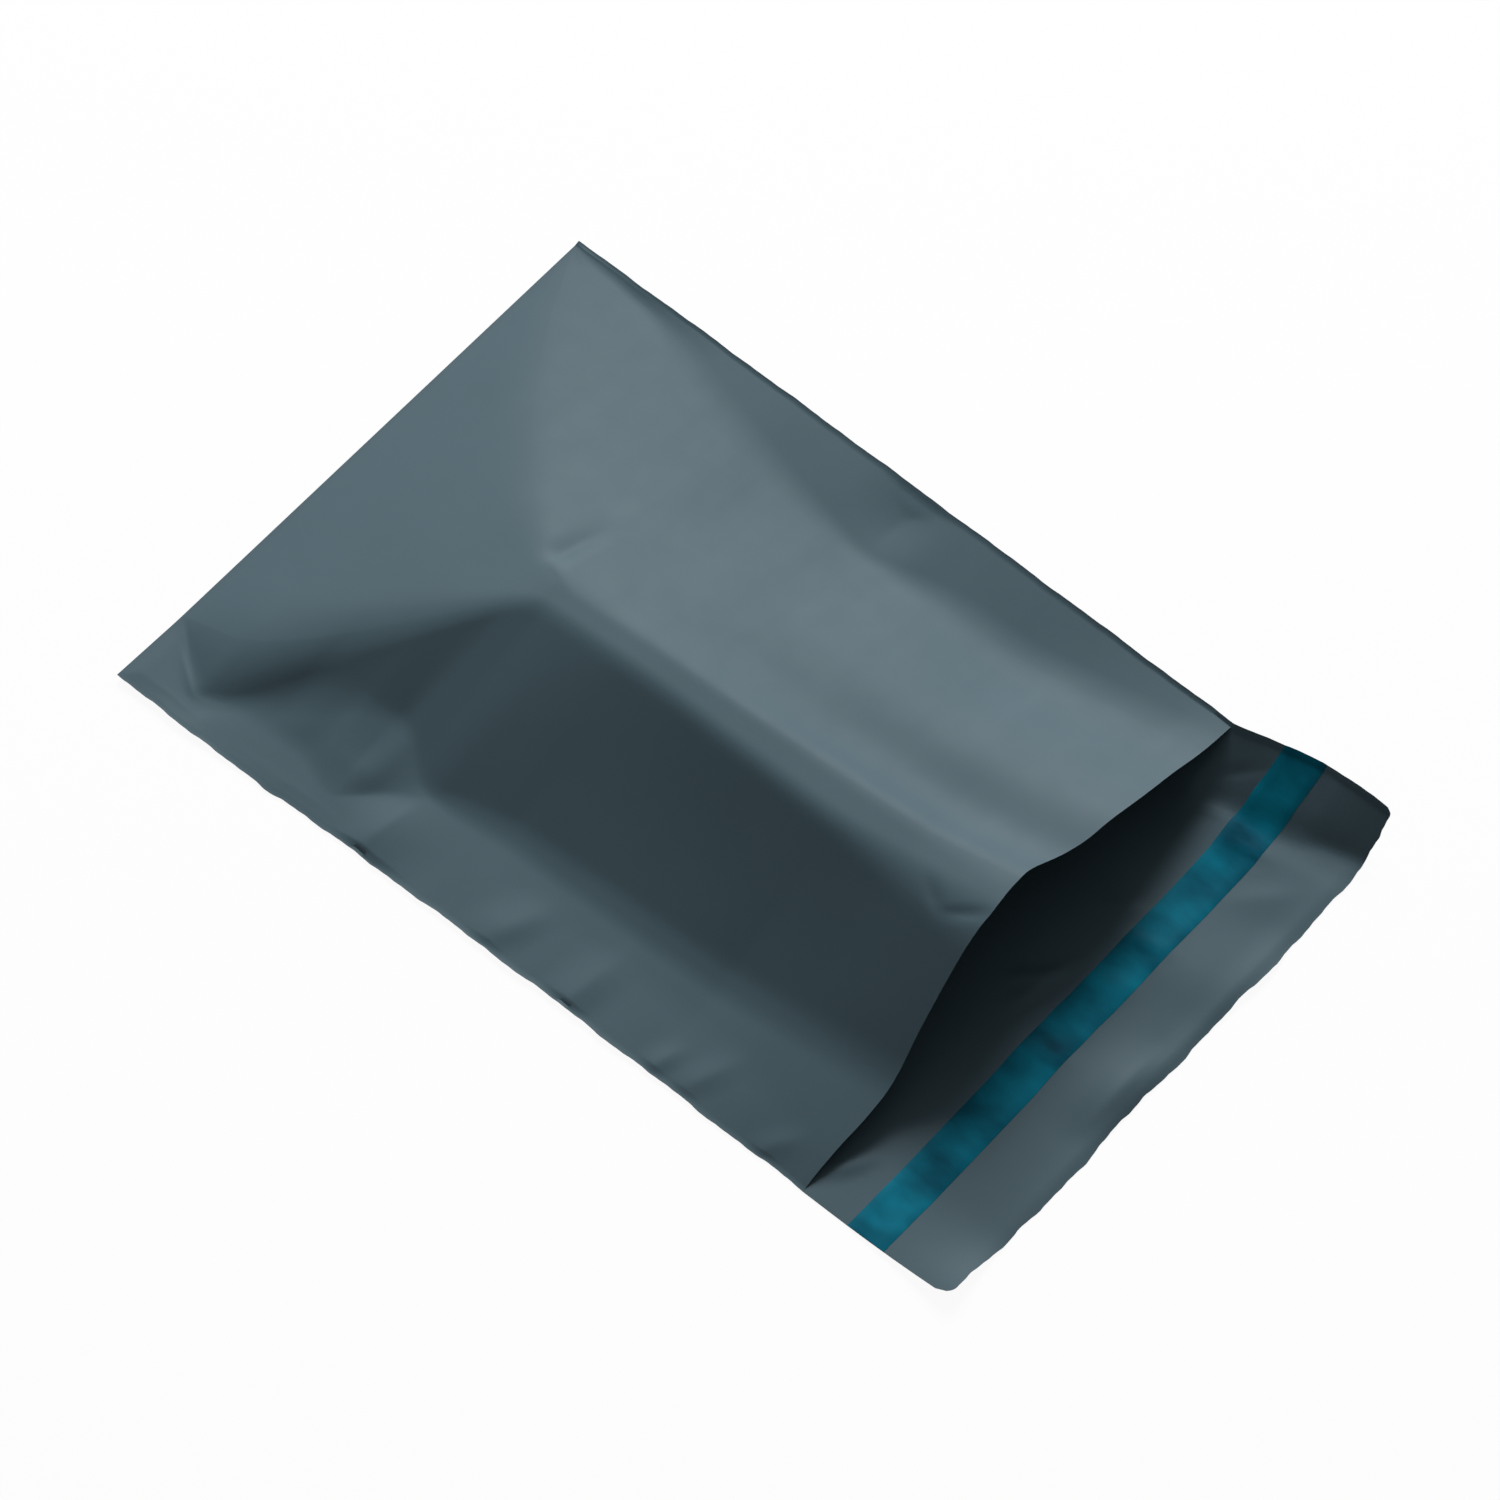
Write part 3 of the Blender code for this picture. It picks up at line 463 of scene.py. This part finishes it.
def top_height(x, p):
    """Height of the front panel's outer face."""
    lines = ribs(p)
    back = under_height(x, p) + DOUBLE
    welds = [under_height(lines[k][0], p) + DOUBLE for k in (0, -1)]
    inner = [line[:2] for line in lines[1:-1]]
    knots = [(lines[0][0], welds[0]), *inner, (lines[-1][0], welds[1])]
    height = bent_line(x, knots, [line[2] for line in lines[1:-1]])

    foot, near_ridge, far_ridge, far_foot = (line[0] for line in lines[2:6])
    near_share = np.clip((x - foot) / (near_ridge - foot), 0, 1)
    hollow = bump(p - (PINCH_AT + BAG_LENGTH) / 2, (BAG_LENGTH - PINCH_AT) / 2)
    height = height - NEAR_SAG * hollow * np.sin(np.pi * near_share)
    far_share = np.clip((x - far_ridge) / (far_foot - far_ridge), 0, 1)
    grown = np.clip((p - TERRACE_FROM) / TERRACE_GROWTH, 0, 1)
    eased = far_share**2 * (1 + TERRACE_EASE) / (far_share + TERRACE_EASE)
    turn = 2 * np.pi * eased * (1 + TERRACE_LEAN * (1 - eased))
    height = height - TERRACE_DEPTH * grown * np.sin(turn)

    for values in CREASES:
        height = height + crease(x, p, *values)

    from_weld = np.minimum(x - lines[0][0], lines[-1][0] - x)
    inset = np.clip(np.minimum(from_weld, p - FOLD_DEPTH) / GAP_REACH, 0, 1)
    least = back + PANEL_GAP * inset
    welded = (from_weld <= 0) | (p <= FOLD_DEPTH)
    return np.where(welded, back, least + ramp(height - least, PANEL_GAP / 2))


def steepness(height, x, p):
    """Vertical reach of a sheet of thickness 1 at a point of the surface."""
    near = 0.05 * MM
    across = (height(x + near, p) - height(x - near, p)) / (2 * near)
    down = (height(x, p + near) - height(x, p - near)) / (2 * near)
    return np.sqrt(1 + across**2 + down**2)


def film_end(height, x, film_length):
    """Distance p at which a film over the surface has used up its length, at constant x."""
    end = np.full(np.shape(x), film_length)
    for _ in range(3):
        line = np.linspace(0, 1, 200)[:, None] * end
        rise = np.diff(height(x + 0 * line, line), axis=0)
        used = np.sqrt(np.diff(line, axis=0) ** 2 + rise**2).sum(axis=0)
        end = end + film_length - used
    return end


def spaced(stations, pitches):
    """Values from the first station to the last, each stretch cut into steps of its pitch."""
    values = [stations[0]]
    for start, end, pitch in zip(stations, stations[1:], pitches):
        count = max(1, int(np.ceil((end - start) / pitch - 1e-6)))
        values += list(start + (end - start) * np.arange(1, count + 1) / count)
    return np.array(values)


def column_lines(p):
    """x of every column of faces at distance p, from the near edge to the far edge."""
    lines = [line[0] for line in ribs(p)]
    columns = [near_edge(p), lines[0]]
    for start, end, count in zip(lines, lines[1:], COLUMNS):
        columns += [start + (end - start) * k / count for k in range(1, count + 1)]
    return np.array(columns + [far_side(p)[0]])


def bag_grid():
    """x and p of the grid under the bag, columns by rows, from the fold to the mouth."""
    stations = (FOLD_DEPTH, *FINE_ROWS, BAG_LENGTH)
    rows = np.concatenate(([0], spaced(stations, (ROW_PITCH, FINE_PITCH, ROW_PITCH))))
    count = len(column_lines(np.array(BAG_LENGTH)))
    mouth = np.full(count, BAG_LENGTH)
    for _ in range(3):
        mouth_x = np.diag(column_lines(mouth))
        bows = [depth * bump(mouth_x - at, half) for at, depth, half in MOUTH_BOWS]
        mouth = film_end(top_height, mouth_x, BAG_LENGTH - sum(bows))
    # Near the fold the rows lie straight across, and towards the mouth they follow its cut edge.
    p = rows + (mouth - BAG_LENGTH)[:, None] * (rows / BAG_LENGTH)
    x = np.array([column_lines(p[k])[k] for k in range(count)])
    return x, p


def flap_grid(mouth_x, mouth_p):
    """x and p of the grid of the flap, whose rows include the edges of liner and adhesive."""
    free_length = BAG_LENGTH + FLAP_LENGTH
    margin = (LINER_WIDTH - ADHESIVE_WIDTH) / 2
    liner_end = FLAP_LENGTH - LINER_FROM_END
    liner_start = liner_end - LINER_WIDTH
    stations = (0, liner_start, liner_start + margin, liner_end - margin, liner_end, FLAP_LENGTH)
    rows = spaced(stations, [FLAP_PITCH] * (len(stations) - 1))[1:]

    mouth_edge, _, mouth_crease = far_side(mouth_p)
    start = near_edge(mouth_p)

    def columns_at(p):
        """Each column keeps its share of the way to the crease, or from there to the edge."""
        edge, _, crease = far_side(p)
        low = start + (mouth_x - start) * (crease - start) / (mouth_crease - start)
        high = edge + (mouth_x - mouth_edge) * (edge - crease) / (mouth_edge - mouth_crease)
        return np.where(mouth_x <= mouth_crease, low, high)

    end = film_end(under_height, columns_at(np.full(len(mouth_x), free_length)), free_length)
    # The liner lies straight across, and the rows between it and the mouth fan out.
    from_end = end[:, None] - FLAP_LENGTH + rows
    near_mouth = np.clip(1 - rows / liner_start, 0, 1)
    p = from_end + (mouth_p - end + FLAP_LENGTH)[:, None] * near_mouth
    x = np.array([columns_at(p[:, k]) for k in range(len(rows))]).T
    # Round the two free corners: near a corner the cut edge steps back along a circle.
    past_liner = np.clip((rows - liner_end) / LINER_FROM_END, 0, 1)
    short = along(mouth_x, CUT_EDGE, 1, CRISP_ROUND) + CUT_WAVES * waver(mouth_x)
    p = p - short[:, None] * past_liner
    for radius, from_side in zip(CORNER_RADII, (x - x[0], x[-1] - x)):
        inside = np.clip(radius - from_side, 0, radius)
        p = p - (radius - np.sqrt(radius**2 - inside**2)) * past_liner
    strip = [int(np.argmin(abs(rows - s))) for s in stations[1:5]]
    return x, p, strip


def placed(x, p, z):
    """Points in the frame of the part, as a grid of coordinates."""
    return np.stack([x, FOLD_Y - p, z], axis=-1)


class Skin:
    """Collects points and faces, and turns them into one piece."""

    def __init__(self):
        self.places = []
        self.faces = []
        self.count = 0

    def points(self, grid, used=None):
        """Indices of new vertices for a grid of points, and -1 where a point isn't used."""
        if used is None:
            used = np.ones(grid.shape[:2], bool)
        made = np.full(grid.shape[:2], -1)
        made[used] = self.count + np.arange(used.sum())
        self.places.append(grid[used])
        self.count += int(used.sum())
        return made

    def face(self, corners):
        """One face, without corners that fall together."""
        kept = [int(c) for k, c in enumerate(corners) if c != corners[k - 1]]
        if len(kept) > 2:
            self.faces.append(kept)

    def sheet(self, grid):
        """Faces over a whole grid of vertices."""
        corners = (grid[:-1, :-1], grid[:-1, 1:], grid[1:, 1:], grid[1:, :-1])
        self.faces += np.stack(corners, axis=-1).reshape(-1, 4).tolist()

    def coarse_sheet(self, grid):
        """Larger faces over a grid, which keep every vertex of its border."""
        ends = (grid.shape[0] - 1, grid.shape[1] - 1)
        rows, columns = (coarse_stops(end + 1) for end in ends)
        for a, b in zip(rows, rows[1:]):
            for c, d in zip(columns, columns[1:]):
                loop = [grid[i, c] for i in (range(a, b) if c == 0 else (a,))]
                loop += [grid[b, j] for j in (range(c, d) if b == ends[0] else (c,))]
                loop += [grid[i, d] for i in (range(b, a, -1) if d == ends[1] else (b,))]
                loop += [grid[a, j] for j in (range(d, c, -1) if a == 0 else (d,))]
                self.face(loop)

    def band(self, first, second):
        """Faces between two rows of vertices of equal length."""
        for k in range(len(first) - 1):
            self.face([first[k], first[k + 1], second[k + 1], second[k]])

    def finish(self, name, material):
        """The piece itself, with its normals outwards and its sharp edges marked."""
        mesh = bpy.data.meshes.new(name)
        mesh.from_pydata(np.concatenate(self.places).tolist(), [], self.faces)
        form = bmesh.new()
        form.from_mesh(mesh)
        bmesh.ops.recalc_face_normals(form, faces=form.faces[:])
        if form.calc_volume(signed=True) < 0:
            bmesh.ops.reverse_faces(form, faces=form.faces[:])
        form.to_mesh(mesh)
        form.free()
        mesh.shade_smooth()
        mesh.set_sharp_from_angle(angle=SMOOTH_ANGLE)
        mesh.materials.append(material)
        piece = bpy.data.objects.new(name, mesh)
        bpy.context.scene.collection.objects.link(piece)
        return piece


def coarse_stops(count):
    """Rows or columns, out of so many, that a coarse sheet keeps."""
    return [*range(0, count - 1, COARSE), count - 1]


def coarse_use(shape):
    """Which points of a grid a coarse sheet uses."""
    used = np.zeros(shape, bool)
    used[np.ix_(coarse_stops(shape[0]), coarse_stops(shape[1]))] = True
    used[[0, -1]] = True
    used[:, [0, -1]] = True
    return used


def film_piece(x, p, flap_x, flap_p, material):
    """The folded and welded film: outer skin, inner skin of the pocket, and the flap."""
    skin = Skin()
    rows = x.shape[1]
    all_x = np.hstack([x, flap_x])
    all_p = np.hstack([p, flap_p])
    under = under_height(all_x, all_p)
    over = under + FILM * steepness(under_height, all_x, all_p)
    top = top_height(x, p)
    lining = top - FILM * steepness(top_height, x, p)

    back = skin.points(placed(x, p, under[:, :rows]), coarse_use(x.shape))
    flap_back = skin.points(placed(flap_x, flap_p, under[:, rows:]))
    flap_back = np.hstack([back[:, -1:], flap_back])
    front = skin.points(placed(x, p, top))
    flap_face = skin.points(placed(all_x, all_p, over)[:, rows - 1 :])

    inner = placed(x, p, over[:, :rows])[1:-1, 1:-1]
    used = coarse_use((inner.shape[0], inner.shape[1] + 1))[:, :-1]
    floor = np.hstack([skin.points(inner, used), flap_face[1:-1, :1]])
    roof = floor.copy()
    roof[1:-1, 1:] = skin.points(placed(x, p, lining)[2:-2, 2:])

    skin.coarse_sheet(back)
    skin.coarse_sheet(floor)
    for grid in (front, roof, flap_face, flap_back):
        skin.sheet(grid)

    mouth = np.concatenate([flap_face[:1, 0], roof[:, -1], flap_face[-1:, 0]])
    skin.band(front[:, -1], mouth)
    skin.band(front[:, 0], back[:, 0])
    for side in (0, -1):
        skin.band(front[side, :-1], back[side, :-1])
        weld_end = [*front[side, -2:], flap_face[side, 0], back[side, -1], back[side, -2]]
        skin.face(weld_end)
        skin.band(flap_face[side], flap_back[side])
    skin.band(flap_face[:, -1], flap_back[:, -1])
    return skin.finish("mailer_film", material)


def strip_piece(name, x, p, low, thickness, material):
    """A strip across the flap, its lower face at height low above the flap's upper face.

    Its two long edges lie down on the film.
    """
    skin = Skin()
    reach = steepness(under_height, x, p)
    low = np.full(x.shape[1], low)
    low[[0, -1]] = EDGE_AIR
    base = under_height(x, p) + (FILM + low) * reach
    bottom = skin.points(placed(x, p, base))
    top = skin.points(placed(x, p, base + thickness * reach))
    skin.sheet(bottom)
    skin.sheet(top)
    for side in (0, -1):
        skin.band(bottom[side], top[side])
        skin.band(bottom[:, side], top[:, side])
    return skin.finish(name, material)


class Nodes:
    """A material with a Principled shader and procedural textures in the part's own coordinates."""

    def __init__(self, name):
        self.material = bpy.data.materials.new(name)
        self.material.use_nodes = True
        self.tree = self.material.node_tree
        self.shader = self.tree.nodes["Principled BSDF"]
        self.place = self.tree.nodes.new("ShaderNodeTexCoord").outputs["Object"]

    def link(self, source, target):
        self.tree.links.new(source, target)

    def noise(self, scale, detail, stretch=None):
        """Noise of so many grains a metre."""
        node = self.tree.nodes.new("ShaderNodeTexNoise")
        node.inputs["Scale"].default_value = scale
        node.inputs["Detail"].default_value = detail
        place = self.place
        if stretch:
            mapping = self.tree.nodes.new("ShaderNodeMapping")
            mapping.inputs["Scale"].default_value = stretch
            self.link(place, mapping.inputs["Vector"])
            place = mapping.outputs["Vector"]
        self.link(place, node.inputs["Vector"])
        return node.outputs["Fac"]

    def between(self, source, low, high):
        """A value from low to high as the source goes over the middle of its range."""
        node = self.tree.nodes.new("ShaderNodeMapRange")
        for name, value in zip(("From Min", "From Max", "To Min", "To Max"), (*MIDDLE, low, high)):
            node.inputs[name].default_value = value
        self.link(source, node.inputs["Value"])
        return node.outputs["Result"]

    def colours(self, source, low, high):
        """A colour from low to high as the source goes over the middle of its range."""
        node = self.tree.nodes.new("ShaderNodeValToRGB")
        for element, place, colour in zip(node.color_ramp.elements, MIDDLE, (low, high)):
            element.position = place
            element.color = (*colour, 1)
        self.link(source, node.inputs["Fac"])
        return node.outputs["Color"]

    def add(self, first, second, share):
        """Sum of the first source and a share of the second."""
        node = self.tree.nodes.new("ShaderNodeMath")
        node.operation = "MULTIPLY_ADD"
        self.link(second, node.inputs[0])
        node.inputs[1].default_value = share
        self.link(first, node.inputs[2])
        return node.outputs["Value"]

    def bump(self, source, depth):
        """Relief of that depth in metres."""
        node = self.tree.nodes.new("ShaderNodeBump")
        node.inputs["Strength"].default_value = 1
        node.inputs["Distance"].default_value = depth
        self.link(source, node.inputs["Height"])
        self.link(node.outputs["Normal"], self.shader.inputs["Normal"])


def film_material():
    """Semi-matte slate film: faint clouds in its colour, a fine grain and a little sheen."""
    nodes = Nodes("slate_film")
    clouds = nodes.noise(45, 4)
    grain = nodes.noise(1500, 3)
    mixed = nodes.add(clouds, grain, 0.25)
    colour = nodes.colours(mixed, FILM_DARK, FILM_PALE)
    nodes.link(colour, nodes.shader.inputs["Base Color"])
    roughness = nodes.between(nodes.noise(120, 3), 0.54, 0.57)
    nodes.link(roughness, nodes.shader.inputs["Roughness"])
    nodes.shader.inputs["Specular IOR Level"].default_value = FILM_SHEEN
    nodes.bump(nodes.add(grain, nodes.noise(260, 2), 0.6), 0.012 * MM)
    return nodes.material


def liner_material():
    """Teal release film with a soft gloss. Its dark and pale blotches are painted shade and painted
    light that stand in for the shading of its undulations.
    """
    nodes = Nodes("teal_liner")
    # Blotches of painted shade and painted light over the liner's teal
    painted_light_blotches = nodes.noise(70, 3, stretch=(1, 0.5, 1))
    colour = nodes.colours(painted_light_blotches, LINER_PAINTED_SHADE, LINER_PAINTED_LIGHT)
    nodes.link(colour, nodes.shader.inputs["Base Color"])
    roughness = nodes.between(nodes.noise(90, 2), 0.38, 0.55)
    nodes.link(roughness, nodes.shader.inputs["Roughness"])
    nodes.shader.inputs["Specular IOR Level"].default_value = LINER_SHEEN
    nodes.bump(nodes.noise(420, 3), 0.02 * MM)
    return nodes.material


def adhesive_material():
    """Hot-melt adhesive: pale, tacky, uneven."""
    nodes = Nodes("pale_adhesive")
    streaks = nodes.noise(160, 3, stretch=(0.2, 1, 1))
    colour = nodes.colours(streaks, ADHESIVE_DARK, ADHESIVE_PALE)
    nodes.link(colour, nodes.shader.inputs["Base Color"])
    roughness = nodes.between(nodes.noise(300, 2), 0.3, 0.5)
    nodes.link(roughness, nodes.shader.inputs["Roughness"])
    nodes.bump(streaks, 0.03 * MM)
    return nodes.material


def seen_share(tree, share):
    """A share for rays from the camera, mirrors and glass, and 0 for the light on the object."""
    path = tree.nodes.new("ShaderNodeLightPath")
    total = path.outputs["Is Camera Ray"]
    for name in ("Is Glossy Ray", "Is Transmission Ray"):
        both = tree.nodes.new("ShaderNodeMath")
        both.operation = "MAXIMUM"
        tree.links.new(total, both.inputs[0])
        tree.links.new(path.outputs[name], both.inputs[1])
        total = both.outputs["Value"]
    scaled = tree.nodes.new("ShaderNodeMath")
    scaled.operation = "MULTIPLY"
    tree.links.new(total, scaled.inputs[0])
    scaled.inputs[1].default_value = share
    return scaled.outputs["Value"]


def white_floor():
    """A white floor that shows the shadow of the object faintly."""
    mesh = bpy.data.meshes.new("floor")
    half = FLOOR_SIZE / 2
    corners = [(-half, -half, 0), (half, -half, 0), (half, half, 0), (-half, half, 0)]
    mesh.from_pydata(corners, [], [(0, 1, 2, 3)])
    material = bpy.data.materials.new("white_floor")
    material.use_nodes = True
    tree = material.node_tree
    tree.nodes.clear()
    matte = tree.nodes.new("ShaderNodeBsdfDiffuse")
    shade = tree.nodes.new("ShaderNodeMath")
    shade.operation = "ADD"
    shade.inputs[1].default_value = FLOOR_GREY
    tree.links.new(seen_share(tree, FLOOR_WHITE), shade.inputs[0])
    tree.links.new(shade.outputs["Value"], matte.inputs["Color"])
    glow = tree.nodes.new("ShaderNodeEmission")
    mix = tree.nodes.new("ShaderNodeMixShader")
    output = tree.nodes.new("ShaderNodeOutputMaterial")
    tree.links.new(seen_share(tree, FLOOR_GLOW), mix.inputs["Fac"])
    tree.links.new(matte.outputs["BSDF"], mix.inputs[1])
    tree.links.new(glow.outputs["Emission"], mix.inputs[2])
    tree.links.new(mix.outputs["Shader"], output.inputs["Surface"])
    mesh.materials.append(material)
    floor = bpy.data.objects.new("floor", mesh)
    floor.location.z = -FLOOR_DROP
    bpy.context.scene.collection.objects.link(floor)


def studio():
    """One soft key light, a low even fill, and white all round for the camera."""
    light = bpy.data.lights.new("key", "AREA")
    light.shape = "SQUARE"
    light.size = KEY_SIZE
    light.energy = KEY_POWER
    key = bpy.data.objects.new("key", light)
    direction = Vector(KEY_DIRECTION).normalized()
    key.location = direction * KEY_DISTANCE
    key.rotation_euler = direction.to_track_quat("Z", "Y").to_euler()
    bpy.context.scene.collection.objects.link(key)

    world = bpy.data.worlds.new("studio")
    bpy.context.scene.world = world
    world.use_nodes = True
    tree = world.node_tree
    fill = tree.nodes["Background"]
    fill.inputs["Color"].default_value = (1, 1, 1, 1)
    fill.inputs["Strength"].default_value = FILL
    white = tree.nodes.new("ShaderNodeBackground")
    white.inputs["Color"].default_value = (1, 1, 1, 1)
    white.inputs["Strength"].default_value = 1
    mix = tree.nodes.new("ShaderNodeMixShader")
    tree.links.new(seen_share(tree, 1), mix.inputs["Fac"])
    tree.links.new(fill.outputs["Background"], mix.inputs[1])
    tree.links.new(white.outputs["Background"], mix.inputs[2])
    tree.links.new(mix.outputs["Shader"], tree.nodes["World Output"].inputs["Surface"])


def camera():
    """A camera at the photograph's viewing angle."""
    lens = bpy.data.cameras.new("camera")
    lens.lens = CAMERA_LENS
    lens.sensor_width = CAMERA_SENSOR
    lens.clip_start, lens.clip_end = CAMERA_CLIP
    eye = bpy.data.objects.new("camera", lens)
    azimuth, elevation = np.radians(CAMERA_AZIMUTH), np.radians(CAMERA_ELEVATION)
    flat = np.cos(elevation)
    back = Vector((np.sin(azimuth) * flat, -np.cos(azimuth) * flat, np.sin(elevation)))
    eye.location = Vector(CAMERA_TARGET) + back * CAMERA_DISTANCE
    eye.rotation_euler = back.to_track_quat("Z", "Y").to_euler()
    bpy.context.scene.collection.objects.link(eye)
    bpy.context.scene.camera = eye


def build_mailer():
    """The three pieces, each in place of its node of the frame."""
    x, p = bag_grid()
    flap_x, flap_p, lines = flap_grid(x[:, -1], p[:, -1])
    film = film_piece(x, p, flap_x, flap_p, film_material())
    adhesive_rows = slice(lines[1], lines[2] + 1)
    liner_rows = slice(lines[0], lines[3] + 1)
    adhesive = strip_piece(
        "adhesive_band",
        flap_x[:, adhesive_rows],
        flap_p[:, adhesive_rows],
        low=ADHESIVE_AIR,
        thickness=ADHESIVE_THICKNESS,
        material=adhesive_material(),
    )
    liner = strip_piece(
        "liner_band",
        flap_x[:, liner_rows],
        flap_p[:, liner_rows],
        low=LINER_AIR + ADHESIVE_THICKNESS,
        thickness=LINER_THICKNESS,
        material=liner_material(),
    )
    parts = (
        (film, "bag_film", "film"),
        (adhesive, "adhesive_strip", "adhesive"),
        (liner, "release_liner", "liner"),
    )
    for piece, node, slot in parts:
        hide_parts(node)
        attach(piece, "root")


build_mailer()
white_floor()
studio()
camera()
bpy.context.scene.view_settings.view_transform = "Standard"
